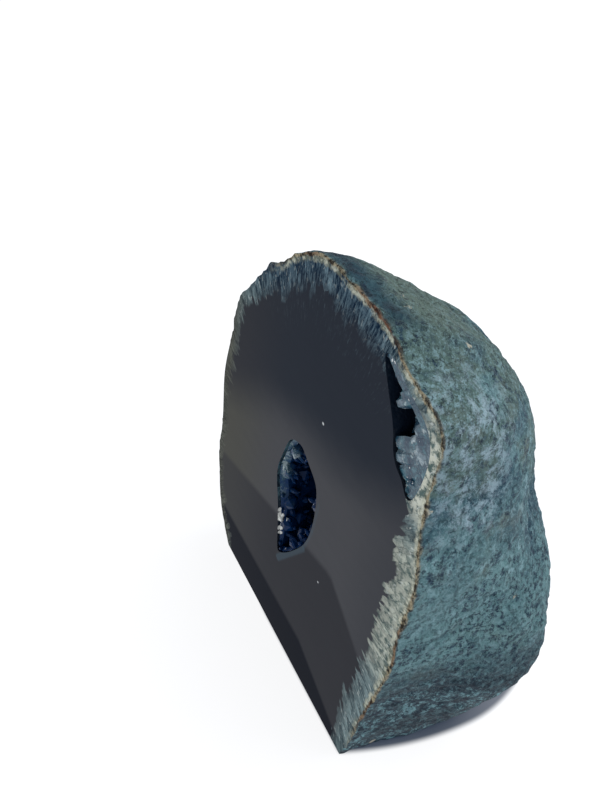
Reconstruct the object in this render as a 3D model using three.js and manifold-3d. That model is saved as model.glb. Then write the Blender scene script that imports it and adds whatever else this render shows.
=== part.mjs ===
// A half of an agate geode, standing on a flat sawn foot with its polished face to the front.
// Millimetres, +Z up. The polished face looks along -Y and the foot lies on Z = 0.
import * as THREE from 'three';
import { mergeVertices } from 'three/addons/utils/BufferGeometryUtils.js';
import Module from 'manifold-3d';

const wasm = await Module();
wasm.setup();

// Outline of the polished face, [across, up] from the middle of the foot edge.
// The points below zero close the nodule as it was before the foot was sawn off.
const FACE_OUTLINE = [
  [-31, 2], [-34.6, 8], [-37, 26], [-35.2, 38], [-34.6, 52], [-31.2, 64], [-28.6, 73.6],
  [-26.2, 77.4], [-21.6, 81.8], [-16, 88.6], [-11.8, 91.2], [-7, 95.4], [2, 100], [12, 99.8],
  [20, 99.2], [25, 96.2], [34, 93.5], [35.3, 90], [34.6, 82], [36, 70], [37, 63], [36, 50],
  [36.2, 44], [34, 30], [31.8, 18], [28.5, 0], [20, -15], [0, -23], [-20, -15],
];
const NODULE_HEART = 45; // height of the middle that the outline's radii are measured from

// The nodule behind the face
const DEPTH = 49.6;
const BACK_DRIFT = { across: 1.5, up: -9.9 }; // where the back's pole lies, from the nodule's heart
const BACK_ROUNDNESS = 1.72;
const FLANK_POWER = { right: 3.9, top: 1.46, left: 3.4, bottom: 3.8 }; // how late each flank turns in
const WAVE_FADE = 0.29; // share of the depth over which the outline's small waves die out
const WAVE_ORDER = 4; // waves round the nodule that go on to the back
// Broad swellings and hollows of the rind: side angle, depth share, height share, widths
const SWELLINGS = [
  { angle: 25, depth: 0.63, height: -0.12, angleWidth: 29, depthWidth: 0.32 },
  { angle: -15, depth: 0.63, height: 0.265, angleWidth: 30, depthWidth: 0.32 },
  { angle: 41, depth: 0.78, height: -0.18, angleWidth: 20, depthWidth: 0.3 },
  { angle: 62, depth: 0.56, height: 0.037, angleWidth: 17, depthWidth: 0.24 },
  { angle: -58, depth: 0.41, height: 0.016, angleWidth: 15, depthWidth: 0.27 },
];

// Small lumps and pits of the rind
const LUMP_COUNT = 150;
const LUMP_HEIGHT = 0.9;
const LUMP_SPREAD = { least: 3, most: 8 };
const PIT_COUNT = 60;
const PIT_DEPTH = 1.5;
const PIT_SPREAD = { least: 1.6, most: 3 };
const BUMP_REACH = 44; // distance of the bumps' middles from the nodule's axis, near the face
const CALM_RIM = 4; // depth behind the face over which lumps and pits grow to their full size

// Facets of the nodule
const SIDES = 114;
const RINGS = 26;

// The hollow in the agate: mouth [across, up], then [depth, size share] of each section
const HOLLOW_MOUTH = [
  [0.5, 61.3], [-3, 60], [-4.5, 57.5], [-6, 53], [-7.2, 50], [-7.7, 46.5], [-7, 43], [-6.2, 40],
  [-5.7, 36], [-5.2, 31], [-5, 26], [-3, 27.5], [0, 31], [3, 35.5], [5.5, 39.5], [7, 44],
  [7.8, 49], [7.8, 54], [7.3, 57.5], [4.5, 59], [1.5, 61],
];
const HOLLOW_HEART = [0.4, 45];
const HOLLOW_SECTIONS = [
  [-2, 1], [0, 1], [1, 1], [4, 1.1], [9, 1.17], [14, 1.08], [18, 0.86], [21, 0.5], [22, 0.15],
];

// The pocket between agate and rind at the upper right of the face
const POCKET_MOUTH = [
  [19.2, 95.5], [21, 92], [23, 88.6], [24.8, 85.5], [25.4, 82], [27, 80], [28.8, 79.5], [30, 77.2],
  [31.4, 77.5], [32.3, 80], [33, 84], [33.2, 88], [32, 91], [29, 92.6], [25, 94], [22, 96],
];
const POCKET_HEART = [28, 87];
const POCKET_SECTIONS = [[-2, 1], [0, 1], [3, 0.97], [5.5, 0.85], [6.5, 0.6]];

// Crystals
const GAP = 0.3; // clearance between a crust and the stone that holds it
const CRUST_START = 0.5; // depth behind the face where a crust begins
const HOLLOW_CRUST = 1.3;
const HOLLOW_FLARE = [[-1, 1], [0.5, 1], [3.5, 0.72]]; // the crust thins to nothing at the mouth
const HOLLOW_CRYSTAL = { radius: [1.1, 2.3], length: [3, 5.2], lean: -0.25 };
const HOLLOW_MIDDLE_PULL = 33; // distance above or below the heart at which crystals point halfway back
const HOLLOW_ROWS = [1.6, 5.6, 10.4, 15]; // depth of each row of crystals round the wall
const HOLLOW_ROW_COUNT = 11;
const POCKET_BANK = [1.6, 1.4, 1.2]; // thickness on the right wall, the floor and the top wall
// Prisms from the rind side: root [across, depth, up], length and radius, all lying down to the left
const POCKET_PRISMS = [
  [[32.6, 3.4, 90.5], 10.5, 1.7], [[30.2, 3.6, 92], 8, 1.3], [[33, 3.6, 87], 9, 1.6],
  [[32.8, 3.4, 84], 7.5, 1.5], [[32.4, 3.8, 81.5], 5, 1.4], [[27.4, 4.4, 93.6], 4.6, 1.2],
  [[24.6, 4.6, 95], 3, 1.1], [[31.4, 5, 89.5], 7, 1.3], [[31.6, 5, 85.5], 6, 1.3],
];
const POCKET_PRISM_WAY = new THREE.Vector3(-0.5, -0.17, -0.8).normalize();
const CRYSTAL_SHOULDER = 0.66; // share of a crystal's length where its point begins

/** Repeatable random numbers from 0 to 1. */
function seededRandom(seed) {
  let state = seed;
  return () => {
    state = (state * 1664525 + 1013904223) % 4294967296;
    return state / 4294967296;
  };
}

/** A value between two ends of a range. */
const between = (random, [least, most]) => least + random() * (most - least);

/** Geometry to solid: positions alone, corners merged, triangles with no area dropped. */
function toSolid(geometry) {
  const bare = geometry.clone();
  for (const name of Object.keys(bare.attributes)) {
    if (name !== 'position') bare.deleteAttribute(name);
  }
  const merged = mergeVertices(bare, 1e-4);
  const corners = [];
  for (let i = 0; i < merged.index.count; i += 3) {
    const [a, b, c] = [0, 1, 2].map((k) => merged.index.getX(i + k));
    if (a !== b && b !== c && c !== a) corners.push(a, b, c);
  }
  return new wasm.Manifold(new wasm.Mesh({
    numProp: 3,
    vertProperties: new Float32Array(merged.attributes.position.array),
    triVerts: new Uint32Array(corners),
  }));
}

/** Solid to geometry with flat facets. */
function toGeometry(solid) {
  const mesh = solid.getMesh();
  const geometry = new THREE.BufferGeometry();
  geometry.setAttribute('position', new THREE.BufferAttribute(new Float32Array(mesh.vertProperties), 3));
  geometry.setIndex(new THREE.BufferAttribute(new Uint32Array(mesh.triVerts), 1));
  const facets = geometry.toNonIndexed();
  facets.computeVertexNormals();
  return facets;
}

/** Closed skin over rings of equal size, front ring first, each ring anticlockwise seen from the front. */
function skinRings(rings, frontMiddle, backMiddle) {
  const sides = rings[0].length;
  const positions = [...rings.flat(), frontMiddle, backMiddle];
  const front = rings.length * sides;
  const back = front + 1;
  const corners = [];
  for (let k = 0; k < sides; k++) {
    const next = (k + 1) % sides;
    const last = (rings.length - 1) * sides;
    corners.push(front, k, next);
    corners.push(back, last + next, last + k);
    for (let r = 0; r < rings.length - 1; r++) {
      const [a, b] = [r * sides + k, r * sides + next];
      const [c, d] = [a + sides, b + sides];
      corners.push(a, c, b, b, c, d);
    }
  }
  const geometry = new THREE.BufferGeometry();
  geometry.setAttribute('position', new THREE.Float32BufferAttribute(positions.flat(), 3));
  geometry.setIndex(corners);
  return geometry;
}

/** A box given by its lowest and highest corners. */
function boxSolid(low, high) {
  const size = high.map((value, k) => value - low[k]);
  const geometry = new THREE.BoxGeometry(...size);
  geometry.translate(...low.map((value, k) => value + size[k] / 2));
  return toSolid(geometry);
}

/** Radii of the face outline round the nodule's heart, one for each side. */
function outlineRadii() {
  const points = FACE_OUTLINE.map(([across, up]) => new THREE.Vector3(across, 0, up - NODULE_HEART));
  const trace = new THREE.CatmullRomCurve3(points, true, 'centripetal').getPoints(1600);
  const polar = trace.map((p) => [Math.atan2(p.z, p.x), Math.hypot(p.x, p.z)]).sort((a, b) => a[0] - b[0]);
  return Array.from({ length: SIDES }, (_, k) => {
    const angle = sideAngle(k);
    const after = polar.findIndex((entry) => entry[0] >= angle);
    const [high, low] = after > 0 ? [polar[after], polar[after - 1]] : [polar[0], polar[0]];
    const share = high[0] > low[0] ? (angle - low[0]) / (high[0] - low[0]) : 0;
    return low[1] + share * (high[1] - low[1]);
  });
}

/** Angle of one side of the nodule, from -pi to pi. */
const sideAngle = (k) => -Math.PI + ((k + 0.5) / SIDES) * 2 * Math.PI;

/** The outline's radii with only its broadest waves kept. */
function broadRadii(radii) {
  const waves = [];
  for (let order = 0; order <= WAVE_ORDER; order++) {
    const cosine = radii.reduce((sum, r, k) => sum + r * Math.cos(order * sideAngle(k)), 0);
    const sine = radii.reduce((sum, r, k) => sum + r * Math.sin(order * sideAngle(k)), 0);
    waves.push([cosine, sine].map((sum) => (sum * (order ? 2 : 1)) / SIDES));
  }
  return radii.map((_, k) => waves.reduce((sum, [cosine, sine], order) => {
    const turn = order * sideAngle(k);
    return sum + cosine * Math.cos(turn) + sine * Math.sin(turn);
  }, 0));
}

/** Share of the face radius that is left at a depth share, on the flank that an angle points to. */
function flankShare(angle, depth) {
  const [c, s] = [Math.cos(angle), Math.sin(angle)];
  const { right, top, left, bottom } = FLANK_POWER;
  const power = (c > 0 ? right : left) * c * c + (s > 0 ? top : bottom) * s * s;
  return (1 - depth ** power) ** (1 / BACK_ROUNDNESS);
}

/** Broad swelling of the rind at an angle and depth share. */
function swelling(angle, depth) {
  return SWELLINGS.reduce((sum, { angle: middle, depth: level, height, angleWidth, depthWidth }) => {
    const turn = THREE.MathUtils.euclideanModulo(THREE.MathUtils.radToDeg(angle) - middle + 180, 360) - 180;
    return sum + height * Math.exp(-((turn / angleWidth) ** 2) - ((depth - level) / depthWidth) ** 2);
  }, 0);
}

/** Bumps scattered over the rind, each with a middle, a spread and a height. */
function scatterBumps(seed, count, spread, heightOf) {
  const random = seededRandom(seed);
  return Array.from({ length: count }, () => {
    const angle = random() * 2 * Math.PI;
    const depth = random() * 1.1;
    const reach = BUMP_REACH * Math.sqrt(Math.max(0.05, 1 - depth ** 2.5));
    return {
      middle: new THREE.Vector3(reach * Math.cos(angle), depth * DEPTH, NODULE_HEART + reach * Math.sin(angle)),
      spread: between(random, [spread.least, spread.most]),
      height: heightOf(random()),
    };
  });
}

/** A point of the rind, moved out or in by the bumps round it. */
function bumpPoint(point, bumps) {
  const place = new THREE.Vector3(...point);
  const out = new THREE.Vector3(place.x, place.y - DEPTH / 4, place.z - NODULE_HEART).normalize();
  const calm = Math.min(1, place.y / CALM_RIM);
  const height = bumps.reduce(
    (sum, bump) => sum + bump.height * Math.exp(-place.distanceToSquared(bump.middle) / bump.spread ** 2), 0,
  );
  out.y = Math.max(out.y, 0);
  return place.addScaledVector(out, height * calm).toArray();
}

/** The whole nodule behind the face plane, before the foot is sawn and the hollows are opened. */
function noduleSolid() {
  const radii = outlineRadii();
  const broad = broadRadii(radii);
  const bumps = [
    ...scatterBumps(11, LUMP_COUNT, LUMP_SPREAD, (draw) => (draw - 0.45) * 2 * LUMP_HEIGHT),
    ...scatterBumps(23, PIT_COUNT, PIT_SPREAD, (draw) => -(0.5 + 0.5 * draw) * PIT_DEPTH),
  ];
  const rings = [];
  for (let r = 0; r < RINGS; r++) {
    const depth = Math.sin((r / RINGS) * (Math.PI / 2));
    const drift = depth ** 1.5;
    rings.push(radii.map((radius, k) => {
      const angle = sideAngle(k);
      const wavy = broad[k] + (radius - broad[k]) * Math.exp(-((depth / WAVE_FADE) ** 2));
      const reach = wavy * flankShare(angle, depth) * (1 + swelling(angle, depth));
      return bumpPoint([
        BACK_DRIFT.across * drift + reach * Math.cos(angle),
        DEPTH * depth,
        NODULE_HEART + BACK_DRIFT.up * drift + reach * Math.sin(angle),
      ], bumps);
    }));
  }
  const pole = [BACK_DRIFT.across, DEPTH, NODULE_HEART + BACK_DRIFT.up];
  return toSolid(skinRings(rings, [0, 0, NODULE_HEART], pole));
}

/** A blind bowl behind a mouth: sections of the mouth's shape, each at its depth and size share. */
function bowlSolid(mouth, heart, sections, inset = 0, start = sections[0][0]) {
  const kept = [[start, 1], ...sections.filter(([depth]) => depth > start)];
  const depthEnd = kept.at(-1)[0] - inset;
  const facing = [...mouth].reverse();
  const rings = kept.map(([depth, share], r) => facing.map(([across, up]) => {
    const offset = new THREE.Vector2(across - heart[0], up - heart[1]);
    offset.setLength(Math.max(0.4, offset.length() * share - inset));
    return [heart[0] + offset.x, r === kept.length - 1 ? depthEnd : depth, heart[1] + offset.y];
  }));
  const upright = rings.map((ring) => (isAnticlockwise(ring) ? ring : [...ring].reverse()));
  return toSolid(skinRings(upright, [heart[0], start, heart[1]], [heart[0], depthEnd + 0.4, heart[1]]));
}

/** Whether a ring of points runs anticlockwise seen from the front. */
function isAnticlockwise(ring) {
  const area = ring.reduce((sum, p, k) => {
    const q = ring[(k + 1) % ring.length];
    return sum + p[0] * q[2] - q[0] * p[2];
  }, 0);
  return area > 0;
}

/** A six-sided crystal with a point, from its root along its way. */
function crystalSolid(root, way, length, radius, turn) {
  const profile = [[0, 0], [radius, 0], [radius, length * CRYSTAL_SHOULDER], [0, length]];
  const geometry = new THREE.LatheGeometry(profile.map(([r, h]) => new THREE.Vector2(r, h)), 6);
  geometry.rotateY(turn);
  geometry.applyQuaternion(new THREE.Quaternion().setFromUnitVectors(new THREE.Vector3(0, 1, 0), way));
  geometry.translate(...root.toArray());
  return toSolid(geometry);
}

/** The crust of crystals that lines the hollow. */
function hollowCrustSolid() {
  const random = seededRandom(5);
  const room = bowlSolid(HOLLOW_MOUTH, HOLLOW_HEART, HOLLOW_SECTIONS, GAP, CRUST_START);
  const air = bowlSolid(HOLLOW_MOUTH, HOLLOW_HEART, HOLLOW_SECTIONS, GAP + HOLLOW_CRUST, CRUST_START - 1);
  const flare = bowlSolid(HOLLOW_MOUTH, HOLLOW_HEART, HOLLOW_FLARE, GAP);
  let crust = room.subtract(air).subtract(flare);
  const mouth = new THREE.CatmullRomCurve3(
    HOLLOW_MOUTH.map(([across, up]) => new THREE.Vector3(across, 0, up)), true, 'centripetal',
  );
  for (const [row, depth] of HOLLOW_ROWS.entries()) {
    for (let k = 0; k < HOLLOW_ROW_COUNT; k++) {
      const point = mouth.getPointAt(((k + 0.5 * (row % 2) + 0.5 * random()) / HOLLOW_ROW_COUNT) % 1);
      const wall = sectionShare(HOLLOW_SECTIONS, depth);
      const offset = new THREE.Vector3(point.x - HOLLOW_HEART[0], 0, point.z - HOLLOW_HEART[1]);
      const root = offset.clone().multiplyScalar(wall)
        .add(new THREE.Vector3(HOLLOW_HEART[0], depth + random() * 2, HOLLOW_HEART[1]));
      const spray = new THREE.Vector3(random() - 0.5, random() - 0.5, random() - 0.5);
      const way = new THREE.Vector3(-Math.sign(offset.x), HOLLOW_CRYSTAL.lean, -offset.z / HOLLOW_MIDDLE_PULL)
        .add(spray).normalize();
      const [length, radius] = [between(random, HOLLOW_CRYSTAL.length), between(random, HOLLOW_CRYSTAL.radius)];
      crust = crust.add(crystalSolid(root, way, length, radius, random() * Math.PI));
    }
  }
  return crust.intersect(room);
}

/** Size share of a bowl at a depth, between its sections. */
function sectionShare(sections, depth) {
  const after = sections.findIndex(([level]) => level >= depth);
  const [[fromDepth, fromShare], [toDepth, toShare]] = [sections[after - 1], sections[after]];
  return THREE.MathUtils.mapLinear(depth, fromDepth, toDepth, fromShare, toShare);
}

/** The blocky quartz in the pocket under the rind. */
function pocketCrustSolid() {
  const random = seededRandom(3);
  const room = bowlSolid(POCKET_MOUTH, POCKET_HEART, POCKET_SECTIONS, GAP, GAP);
  const [right, floor, top] = POCKET_BANK;
  const air = bowlSolid(
    POCKET_MOUTH.map(([across, up]) => [across - right, up - top]),
    [POCKET_HEART[0] - right, POCKET_HEART[1] - top],
    POCKET_SECTIONS.map(([depth, share]) => [depth - floor, share]),
  );
  let crust = room.subtract(air);
  for (const [root, length, radius] of POCKET_PRISMS) {
    const foot = new THREE.Vector3(...root);
    crust = crust.add(crystalSolid(foot, POCKET_PRISM_WAY, length, radius, random() * Math.PI));
  }
  return crust.intersect(room);
}

/** The stone: sawn flat under the foot, with the hollow and the pocket opened in its face. */
function agateSolid() {
  const belowFoot = boxSolid([-90, -90, -90], [90, 90, 0]);
  return noduleSolid()
    .subtract(belowFoot)
    .subtract(bowlSolid(HOLLOW_MOUTH, HOLLOW_HEART, HOLLOW_SECTIONS))
    .subtract(bowlSolid(POCKET_MOUTH, POCKET_HEART, POCKET_SECTIONS));
}

/** A named mesh with its own material. */
function piece(name, solid, color, roughness) {
  const material = new THREE.MeshStandardMaterial({ color, roughness, metalness: 0 });
  const mesh = new THREE.Mesh(toGeometry(solid), material);
  mesh.name = name;
  return mesh;
}

const geode = new THREE.Group();
geode.add(piece('agate_half', agateSolid(), 0x4f6d70, 0.6));
geode.add(piece('hollow_crystals', hollowCrustSolid(), 0x5f8f95, 0.2));
geode.add(piece('edge_pocket_crystals', pocketCrustSolid(), 0x9fb9c0, 0.25));

// The origin lies under the middle of the whole piece
const bounds = new THREE.Box3().setFromObject(geode);
const middle = bounds.getCenter(new THREE.Vector3());
geode.position.set(-middle.x, -middle.y, -bounds.min.z);
geode.updateMatrixWorld(true);

export default geode;
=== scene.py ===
"""A half of a dyed agate geode on a pale studio floor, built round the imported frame."""

import logging
import math
import random
from dataclasses import dataclass, field
from enum import Enum
from typing import Callable, Iterable, Sequence

import bpy
from mathutils import Matrix, Vector, noise


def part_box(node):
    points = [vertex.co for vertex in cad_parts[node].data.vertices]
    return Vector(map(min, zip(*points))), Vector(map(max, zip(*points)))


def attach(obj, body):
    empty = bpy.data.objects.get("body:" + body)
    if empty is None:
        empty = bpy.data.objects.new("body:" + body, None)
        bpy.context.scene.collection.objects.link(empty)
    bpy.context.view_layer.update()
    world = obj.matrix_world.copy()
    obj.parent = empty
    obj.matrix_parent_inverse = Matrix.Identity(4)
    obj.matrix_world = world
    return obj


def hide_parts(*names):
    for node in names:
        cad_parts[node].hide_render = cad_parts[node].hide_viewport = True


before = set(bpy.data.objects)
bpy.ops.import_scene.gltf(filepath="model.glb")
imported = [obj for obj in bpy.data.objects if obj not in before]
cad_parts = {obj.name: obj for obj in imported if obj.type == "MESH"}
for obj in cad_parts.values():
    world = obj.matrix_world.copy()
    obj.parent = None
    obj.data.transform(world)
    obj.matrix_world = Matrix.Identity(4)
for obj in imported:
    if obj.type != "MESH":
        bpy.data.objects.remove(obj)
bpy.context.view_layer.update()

MM = 0.001
LOG = logging.getLogger("geode")

Number = float | int
Color = tuple[int, int, int]

# All places and sizes are in millimetres in the frame: across, behind and up

# Middle of the nodule, from which the rim's radii start, and the least radius and the span of its curve
HEART_ACROSS = -1.75
HEART_HEIGHT = 45.0
RIM_LEAST = 36.0
RIM_SPAN = 36.0
# Rim of the nodule below the sawn foot: degrees and radius
BELOW_FOOT = ((-65, 63.0), (-90, 68.0), (-115, 63.0))
# How near a corner lies to a sawn plane, and the least angle of an edge that stays sharp, in degrees
ON_PLANE = 0.01
SHARP_EDGE = 45.0

# Radius at which the quartz teeth are laid out, and how far the way inward is squeezed to make them long
ARC_RADIUS = 48.0
TOOTH_SQUEEZE = 0.42
# Middle of the quartz beside the pocket, and the tiny white chips in the polish: across, up and size
POCKET_BORDER = (32.5, -24.86, 84.0)
FACE_CHIPS = ((5.0, 71.5, 0.28), (10.2, 36.0, 0.22))
# Pale line beside the hollow's mouth: both ends across and up, half width and strength
MOUTH_HALO = (
    ((-6.0, 24.6), (3.4, 38.2), 1.1, 0.5), ((3.6, 38.4), (5.9, 45.8), 0.6, 0.3),
    ((5.9, 45.8), (7.0, 54.0), 0.5, 0.25),
)
# White glints on the left edge of the hollow's mouth: across, up and size, and how far behind the face
MOUTH_GLINTS = (
    (-7.6, 37.6, 0.55), (-7.3, 36.3, 0.7), (-7.1, 35.3, 0.7), (-7.1, 32.7, 0.6), (-6.8, 31.4, 0.45),
)
GLINT_DEPTH = 0.5

# The reddest stretch of the rim's line, at the upper right
RUST_SPOT = (16.6, -24.4, 98.6)
# Way along which the rind's mottling is drawn out
RIND_FABRIC = (0.66, -0.38, 0.64)
# Pale bloom and bare chips on the rind: middle and radius
PALE_BLOOMS = (((32.0, -18.0, 88.0), 10.0), ((33.0, -16.0, 76.0), 6.0))
RIND_CHIPS = (((10.7, -17.7, 97.9), 0.4), ((13.2, -18.8, 98.2), 0.3), ((19.6, -12.2, 94.3), 0.5))

# Middle of each hollow, across and up
CRUST_HEARTS = {"hollow_crystals": (-1.4, 45.0), "edge_pocket_crystals": (23.5, 84.0)}
# How much wider the large prisms' tips are than a small crystal's, and where they end along it
BLUNT_TIP = 6.5
BLUNT_END = 0.92
# The prisms end this far behind the face, each a step deeper than the last so that no two facets coincide
SAWN_BELOW = 0.08
SAWN_STEP = 0.03


def srgb(red: Number, green: Number, blue: Number) -> tuple[float, float, float, float]:
    """A display colour of 0 to 255 as linear light with full alpha.

    Args:
        red: Red of 0 to 255.
        green: Green of 0 to 255.
        blue: Blue of 0 to 255.

    Returns:
        Linear red, green, blue and an alpha of 1.
    """
    def linear(value: Number) -> float:
        """One of the three as linear light."""
        share = value / 255
        return share / 12.92 if share <= 0.04045 else ((share + 0.055) / 1.055) ** 2.4

    return linear(red), linear(green), linear(blue), 1.0


class Graph:
    """The node tree of one material, filled by written expressions."""

    def __init__(self, name: str) -> None:
        """Makes a material with an empty tree.

        Args:
            name: The material's name.
        """
        self.material = bpy.data.materials.new(name)
        self.material.use_nodes = True
        self.tree = self.material.node_tree
        self.tree.nodes.clear()

    def node(self, kind: str, settings: dict[str, object], inputs: dict[int | str, object],
             output: int | str = 0) -> "Value":
        """Adds a node.

        Args:
            kind: The node's type name.
            settings: Properties of the node, set before its sockets.
            inputs: Values or links by socket name or number.
            output: Which of its outputs to hand back.

        Returns:
            The chosen output.
        """
        made = self.tree.nodes.new(kind)
        for name, setting in settings.items():
            setattr(made, name, setting)
        for socket, source in inputs.items():
            if isinstance(source, Value):
                self.tree.links.new(source.socket, made.inputs[socket])
            else:
                made.inputs[socket].default_value = source
        return Value(self, made.outputs[output])

    def place(self) -> "Value":
        """Object coordinates in millimetres."""
        metres = self.node("ShaderNodeTexCoord", {}, {}, "Object")
        return self.node("ShaderNodeVectorMath", {"operation": "SCALE"}, {0: metres, "Scale": 1 / MM})

    def split(self, vector: "Value") -> tuple["Value", "Value", "Value"]:
        """The three numbers of a vector."""
        parts = self.node("ShaderNodeSeparateXYZ", {}, {0: vector}).socket.node
        return tuple(Value(self, output) for output in parts.outputs)

    def vector(self, x: "Value | Number", y: "Value | Number", z: "Value | Number" = 0.0) -> "Value":
        """A vector of three numbers."""
        return self.node("ShaderNodeCombineXYZ", {}, {0: x, 1: y, 2: z})

    def noise(self, vector: "Value", size: Number, detail: Number = 3.0, roughness: Number = 0.55,
              distortion: Number = 0.0) -> "Value":
        """Cloudy noise of 0 to 1.

        Args:
            vector: Where it is read.
            size: Size of its features in the vector's own units.
            detail: How many finer layers it has.
            roughness: Share of each finer layer.
            distortion: How much it swirls.

        Returns:
            The noise.
        """
        return self.node("ShaderNodeTexNoise", {}, {
            "Vector": vector, "Scale": 1 / size, "Detail": detail, "Roughness": roughness,
            "Distortion": distortion,
        })

    def cells(self, vector: "Value", size: Number, feature: str = "F1", output: str = "Distance",
              randomness: Number = 1.0) -> "Value":
        """Voronoi cells.

        Args:
            vector: Where they are read.
            size: Size of a cell in the vector's own units.
            feature: Which of the node's features is read.
            output: Which of its outputs is handed back.
            randomness: How unevenly the cells lie.

        Returns:
            The chosen output.
        """
        return self.node("ShaderNodeTexVoronoi", {"feature": feature}, {
            "Vector": vector, "Scale": 1 / size, "Randomness": randomness,
        }, output)

    def mix(self, factor: "Value | Number", first: object, second: object) -> "Value":
        """A colour between two colours."""
        return self.node("ShaderNodeMix", {"data_type": "RGBA"}, {0: factor, 6: first, 7: second}, 2)

    def near(self, vector: "Value", middle: Sequence[Number], radius: Number, soft: Number) -> "Value":
        """A ball with a soft edge.

        Args:
            vector: Where it is read.
            middle: The ball's middle.
            radius: Its radius.
            soft: Half the width of its soft edge.

        Returns:
            1 inside the ball and 0 outside it.
        """
        middles = {0: vector, 1: tuple(middle)}
        distance = self.node("ShaderNodeVectorMath", {"operation": "DISTANCE"}, middles, 1)
        return 1 - distance.ramp(radius - soft, radius + soft)

    def stroke(self, across: "Value", up: "Value", start: tuple[float, float], end: tuple[float, float],
               width: Number) -> "Value":
        """A straight line between two places on a plane.

        Args:
            across: First coordinate where it is read.
            up: Second coordinate.
            start: One end.
            end: The other end.
            width: Half width, over which the line fades out.

        Returns:
            1 along the line and 0 away from it.
        """
        run, rise = end[0] - start[0], end[1] - start[1]
        length = run * run + rise * rise
        share = ((across - start[0]) * (run / length) + (up - start[1]) * (rise / length)).clamp()
        distance = (across - start[0] - share * run).hypot(up - start[1] - share * rise)
        return 1 - distance.ramp(width * 0.4, width)

    def squashed(self, vector: "Value", way: Sequence[Number], share: Number) -> "Value":
        """A vector made shorter along one way, so that patterns read from it grow longer there.

        Args:
            vector: The vector.
            way: The way, of any length.
            share: Share of its length that it loses along the way.

        Returns:
            The shorter vector.
        """
        along = self.node("ShaderNodeVectorMath", {"operation": "PROJECT"}, {0: vector, 1: tuple(way)})
        excess = self.node("ShaderNodeVectorMath", {"operation": "SCALE"}, {0: along, "Scale": share})
        return self.node("ShaderNodeVectorMath", {"operation": "SUBTRACT"}, {0: vector, 1: excess})

    def curve(self, factor: "Value", points: Iterable[tuple[float, float]]) -> "Value":
        """A number read from a drawn curve.

        Args:
            factor: Where the curve is read, from 0 to 1.
            points: Corners of the curve, joined by straight lines.

        Returns:
            The curve's height there.
        """
        read = self.node("ShaderNodeFloatCurve", {}, {0: 1.0, 1: factor})
        mapping = read.socket.node.mapping
        line = mapping.curves[0]
        listed = sorted(points)
        while len(line.points) > 2:
            line.points.remove(line.points[1])
        line.points[0].location = listed[0]
        line.points[1].location = listed[-1]
        for point in listed[1:-1]:
            line.points.new(*point)
        for point in line.points:
            point.handle_type = "VECTOR"
        mapping.update()
        return read

    def bump(self, height: "Value", depth_mm: Number) -> "Value":
        """A normal from a height of 0 to 1 that stands for a depth in millimetres."""
        inputs = {"Strength": 1.0, "Distance": depth_mm * MM, "Height": height}
        return self.node("ShaderNodeBump", {}, inputs)

    def surface(self, inputs: dict[str, object]) -> bpy.types.Material:
        """Closes the material with a principled surface.

        Args:
            inputs: Values or links of the surface's sockets by name.

        Returns:
            The finished material.
        """
        shader = self.node("ShaderNodeBsdfPrincipled", {}, inputs)
        end = self.tree.nodes.new("ShaderNodeOutputMaterial")
        self.tree.links.new(shader.socket, end.inputs["Surface"])
        return self.material


class Value:
    """A socket of a material with arithmetic."""

    def __init__(self, graph: Graph, socket: bpy.types.NodeSocket) -> None:
        """Wraps one output socket of a graph."""
        self.graph = graph
        self.socket = socket

    def _math(self, operation: str, *numbers: "Value | Number", clamp: bool = False) -> "Value":
        """A Math node on numbers and values, with its result kept between 0 and 1 if asked."""
        return self.graph.node("ShaderNodeMath", {"operation": operation, "use_clamp": clamp},
                               dict(enumerate(numbers)))

    def __add__(self, other: "Value | Number") -> "Value":
        """Sum."""
        return self._math("ADD", self, other)

    __radd__ = __add__

    def __sub__(self, other: "Value | Number") -> "Value":
        """Difference."""
        return self._math("SUBTRACT", self, other)

    def __rsub__(self, other: "Value | Number") -> "Value":
        """Difference from a plain number."""
        return self._math("SUBTRACT", other, self)

    def __mul__(self, other: "Value | Number") -> "Value":
        """Product."""
        return self._math("MULTIPLY", self, other)

    __rmul__ = __mul__

    def __truediv__(self, other: "Value | Number") -> "Value":
        """Quotient."""
        return self._math("DIVIDE", self, other)

    def __pow__(self, other: "Value | Number") -> "Value":
        """Power."""
        return self._math("POWER", self, other)

    def least(self, other: "Value | Number") -> "Value":
        """The smaller of two."""
        return self._math("MINIMUM", self, other)

    def most(self, other: "Value | Number") -> "Value":
        """The larger of two."""
        return self._math("MAXIMUM", self, other)

    def hypot(self, other: "Value") -> "Value":
        """Length of a right triangle's long side."""
        return (self * self + other * other) ** 0.5

    def turn(self, across: "Value") -> "Value":
        """Angle whose height is this value over the given distance across, from -pi to pi."""
        return self._math("ARCTAN2", self, across)

    def clamp(self) -> "Value":
        """Kept between 0 and 1."""
        return self._math("ADD", self, 0.0, clamp=True)

    def ramp(self, low: "Value | Number", high: "Value | Number") -> "Value":
        """A soft step.

        Args:
            low: Where it starts.
            high: Where it ends.

        Returns:
            0 below the start and 1 above the end.
        """
        return self.graph.node("ShaderNodeMapRange", {"interpolation_type": "SMOOTHSTEP"}, {
            0: self, 1: low, 2: high, 3: 0.0, 4: 1.0,
        })


class Region(Enum):
    """Kinds of surface on the stone, in the order of its material slots."""

    RIND = 0
    FACE = 1
    WALL = 2
    FOOT = 3


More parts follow.
